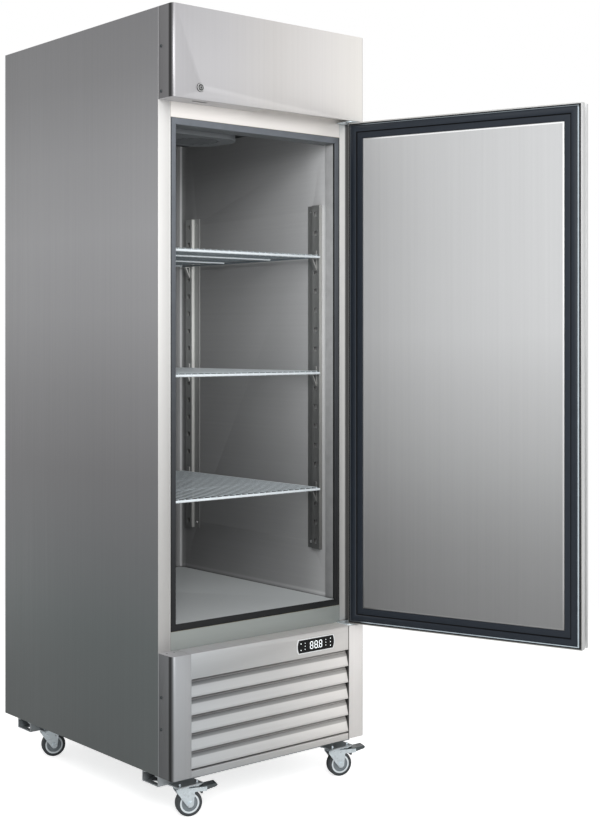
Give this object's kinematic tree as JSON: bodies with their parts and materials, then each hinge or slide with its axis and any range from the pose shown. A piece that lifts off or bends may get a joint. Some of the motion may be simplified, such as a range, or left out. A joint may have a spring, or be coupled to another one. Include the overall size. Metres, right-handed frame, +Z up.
{
  "type": "upright freezer",
  "caption": "Upright steel freezer on casters, its hinged door standing open on wire shelves, with a louvred lower front and a key lock.",
  "frame": {"origin": "on the floor, half way across the cabinet, straight under the front face of its frame", "axes": "+Z up, +Y from the door side to the back, +X to the hinge side, which is on the right of someone facing the door"},
  "size_m": [0.903, 1.507, 2.11],
  "materials": {
    "stainless_side": "vertical brushed grain, satin",
    "stainless_front": "fine brushed grain, satin",
    "stainless_liner": "brushed, satin",
    "stainless_door_inner": "fine brushed grain",
    "zinc_sheet": "galvanised sheet",
    "zinc_plated": "bright zinc plate",
    "screw_steel": "polished",
    "insulation": "foamed",
    "breaker_plastic": "extruded, smooth",
    "gasket_rubber": "soft",
    "control_black": "glossy",
    "control_white": "smooth",
    "coated_wire": "epoxy coated",
    "cover_plastic": "moulded",
    "fan_plastic": "moulded",
    "fin_aluminium": "finned",
    "copper_pipe": "drawn",
    "compressor_enamel": "enamel",
    "motor_steel": "enamel",
    "lock_chrome": "polished",
    "tyre_rubber": "moulded",
    "hub_plastic": "moulded"
  },
  "bodies": {
    "cabinet": {"side_panel_left": "stainless_side", "side_panel_right": "stainless_side", "rear_panel": "zinc_sheet", "top_panel": "zinc_sheet", "cabinet_foam": "insulation", "inner_liner": "stainless_liner", "breaker_strip": "breaker_plastic", "front_rails": "stainless_front", "header_panel": "stainless_front", "cheek_screws": "screw_steel", "lower_post_left": "stainless_front", "lower_post_right": "stainless_front", "grille_panel": "stainless_front", "controller_body": "control_white", "controller_display": "control_black", "shelf_standards": "stainless_liner", "standard_screws": "screw_steel", "shelf_clips": "zinc_plated", "evaporator_cover": "cover_plastic", "evaporator_coil": "fin_aluminium", "fan_motors": "motor_steel", "base_pan": "zinc_sheet", "compressor": "compressor_enamel", "condenser_coil": "fin_aluminium", "condenser_shroud": "zinc_sheet", "drain_pan": "cover_plastic", "electrical_box": "cover_plastic", "refrigerant_pipes": "copper_pipe", "rear_grille": "zinc_sheet", "cord_gland": "fan_plastic", "caster_rails": "zinc_sheet", "caster_plates": "zinc_plated", "caster_bolts": "zinc_plated", "hinge_brackets": "zinc_plated", "lock_housing": "lock_chrome"},
    "door": {"door_skin": "stainless_front", "door_foam": "insulation", "door_inner_panel": "stainless_door_inner", "door_gasket": "gasket_rubber", "door_hinge_arms": "zinc_plated"},
    "lock_plug": {"lock_plug": "lock_chrome"},
    "shelf_top": {"shelf_top": "coated_wire"},
    "shelf_middle": {"shelf_middle": "coated_wire"},
    "shelf_bottom": {"shelf_bottom": "coated_wire"},
    "evaporator_fan": {"evaporator_fan": "fan_plastic"},
    "condenser_fan": {"condenser_fan": "fan_plastic"},
    "fork_front_left": {"caster_fork_front_left": "zinc_plated"},
    "wheel_front_left": {"caster_tyre_front_left": "tyre_rubber", "caster_hub_front_left": "hub_plastic"},
    "pedal_front_left": {"brake_pedal_front_left": "zinc_plated"},
    "fork_front_right": {"caster_fork_front_right": "zinc_plated"},
    "wheel_front_right": {"caster_tyre_front_right": "tyre_rubber", "caster_hub_front_right": "hub_plastic"},
    "pedal_front_right": {"brake_pedal_front_right": "zinc_plated"},
    "fork_rear_left": {"caster_fork_rear_left": "zinc_plated"},
    "wheel_rear_left": {"caster_tyre_rear_left": "tyre_rubber", "caster_hub_rear_left": "hub_plastic"},
    "fork_rear_right": {"caster_fork_rear_right": "zinc_plated"},
    "wheel_rear_right": {"caster_tyre_rear_right": "tyre_rubber", "caster_hub_rear_right": "hub_plastic"}
  },
  "joints": [
    {"name": "door_hinge", "type": "hinge", "parent": "cabinet", "child": "door", "pos_m": [0.328, -0.05, 1.151], "axis": [0, 0, 1], "range_deg": [-109.5, 20]},
    {"name": "lock_turn", "type": "hinge", "parent": "cabinet", "child": "lock_plug", "pos_m": [-0.249, -0.05, 1.901], "axis": [0, 1, 0], "range_deg": [0, 90]},
    {"name": "shelf_top_lift", "type": "slide", "parent": "cabinet", "child": "shelf_top", "axis": [0, 0, 1], "range_m": [0, 0.04]},
    {"name": "shelf_middle_lift", "type": "slide", "parent": "cabinet", "child": "shelf_middle", "axis": [0, 0, 1], "range_m": [0, 0.04]},
    {"name": "shelf_bottom_lift", "type": "slide", "parent": "cabinet", "child": "shelf_bottom", "axis": [0, 0, 1], "range_m": [0, 0.04]},
    {"name": "evaporator_fan_spin", "type": "hinge", "parent": "cabinet", "child": "evaporator_fan", "pos_m": [-0.105, 0.1525, 1.824], "axis": [0, 0, 1], "continuous": true},
    {"name": "condenser_fan_spin", "type": "hinge", "parent": "cabinet", "child": "condenser_fan", "pos_m": [-0.03, 0.096, 0.2445], "axis": [0, 1, 0], "continuous": true},
    {"name": "swivel_front_left", "type": "hinge", "parent": "cabinet", "child": "fork_front_left", "pos_m": [-0.268, -0.014, 0.08], "axis": [0, 0, 1], "continuous": true},
    {"name": "roll_front_left", "type": "hinge", "parent": "fork_front_left", "child": "wheel_front_left", "pos_m": [-0.25578, -0.01845, 0.035], "axis": [0.342, 0.9397, 0], "continuous": true},
    {"name": "brake_front_left", "type": "hinge", "parent": "fork_front_left", "child": "pedal_front_left", "pos_m": [-0.2182, -0.03213, 0.071], "axis": [0.342, 0.9397, 0], "range_deg": [0, 12]},
    {"name": "swivel_front_right", "type": "hinge", "parent": "cabinet", "child": "fork_front_right", "pos_m": [0.268, -0.014, 0.08], "axis": [0, 0, 1], "continuous": true},
    {"name": "roll_front_right", "type": "hinge", "parent": "fork_front_right", "child": "wheel_front_right", "pos_m": [0.28022, -0.01845, 0.035], "axis": [0.342, 0.9397, 0], "continuous": true},
    {"name": "brake_front_right", "type": "hinge", "parent": "fork_front_right", "child": "pedal_front_right", "pos_m": [0.3178, -0.03213, 0.071], "axis": [0.342, 0.9397, 0], "range_deg": [0, 12]},
    {"name": "swivel_rear_left", "type": "hinge", "parent": "cabinet", "child": "fork_rear_left", "pos_m": [-0.268, 0.664, 0.08], "axis": [0, 0, 1], "continuous": true},
    {"name": "roll_rear_left", "type": "hinge", "parent": "fork_rear_left", "child": "wheel_rear_left", "pos_m": [-0.25578, 0.65955, 0.035], "axis": [0.342, 0.9397, 0], "continuous": true},
    {"name": "swivel_rear_right", "type": "hinge", "parent": "cabinet", "child": "fork_rear_right", "pos_m": [0.268, 0.664, 0.08], "axis": [0, 0, 1], "continuous": true},
    {"name": "roll_rear_right", "type": "hinge", "parent": "fork_rear_right", "child": "wheel_rear_right", "pos_m": [0.28022, 0.65955, 0.035], "axis": [0.342, 0.9397, 0], "continuous": true}
  ]
}
